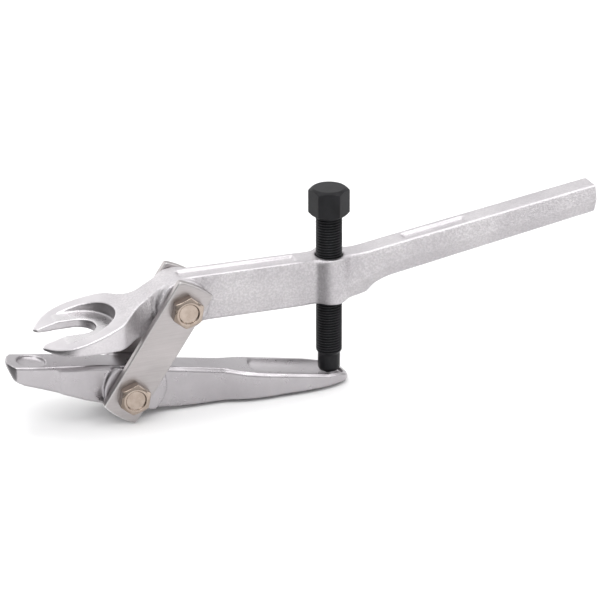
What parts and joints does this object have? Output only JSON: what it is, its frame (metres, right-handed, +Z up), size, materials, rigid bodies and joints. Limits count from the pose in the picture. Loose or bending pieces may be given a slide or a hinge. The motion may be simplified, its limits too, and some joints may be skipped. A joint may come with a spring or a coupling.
{
  "type": "ball joint separator",
  "caption": "Forked hand tool with a link-hung press lever driven by a pressure screw, for pushing a tapered ball stud out of its eye.",
  "frame": {"origin": "centre of the fork's slot at seat level", "axes": "+X runs along the arm to the handle, +Z is up along the pressure screw, and the tool is symmetric across Y except for its bolt heads and nuts"},
  "size_m": [0.3251, 0.0552, 0.1112],
  "materials": {
    "forged_satin": "satin",
    "forged_polished": "satin",
    "plate_steel": "brushed",
    "yellow_zinc": "gloss",
    "nylon": "matte",
    "black_oxide": "satin",
    "ball_steel": "polished"
  },
  "bodies": {
    "arm": {"fork_arm": "forged_satin"},
    "links": {"link_plate_front": "plate_steel", "link_plate_rear": "plate_steel", "upper_pivot_bolt": "yellow_zinc", "upper_lock_nut": "yellow_zinc", "upper_nut_insert": "nylon"},
    "lower_pin": {"lower_pivot_bolt": "yellow_zinc", "lower_lock_nut": "yellow_zinc", "lower_nut_insert": "nylon"},
    "lever": {"press_lever": "forged_polished"},
    "screw_end": {"thrust_ball": "ball_steel"},
    "screw": {"pressure_screw": "black_oxide"}
  },
  "joints": [
    {"name": "link_swing", "type": "hinge", "parent": "arm", "child": "links", "pos_m": [0.05325, 0, 0.0077], "axis": [0, -1, 0], "range_deg": [0, 20]},
    {"name": "pin_swivel", "type": "hinge", "parent": "links", "child": "lower_pin", "pos_m": [0.0238, 0, -0.0366], "axis": [0, -1, 0], "range_deg": [-21, 1]},
    {"name": "lever_tilt", "type": "hinge", "parent": "lower_pin", "child": "lever", "pos_m": [0.0238, 0, -0.0366], "axis": [0, 1, 0], "range_deg": [-15, 12]},
    {"name": "screw_feed", "type": "slide", "parent": "arm", "child": "screw_end", "axis": [0, 0, 1], "range_m": [-0.022, 0.028]},
    {"name": "screw_turn", "type": "hinge", "parent": "screw_end", "child": "screw", "pos_m": [0.136, 0, 0], "axis": [0, 0, 1], "range_deg": [-5400, 6840]}
  ],
  "couplings": [
    {"joint": "pin_swivel", "follows": "link_swing", "ratio": -1},
    {"joint": "lever_tilt", "follows": "screw_feed", "rad_per_m": -8.912},
    {"joint": "screw_turn", "follows": "screw_feed", "rad_per_m": 4188.8}
  ]
}
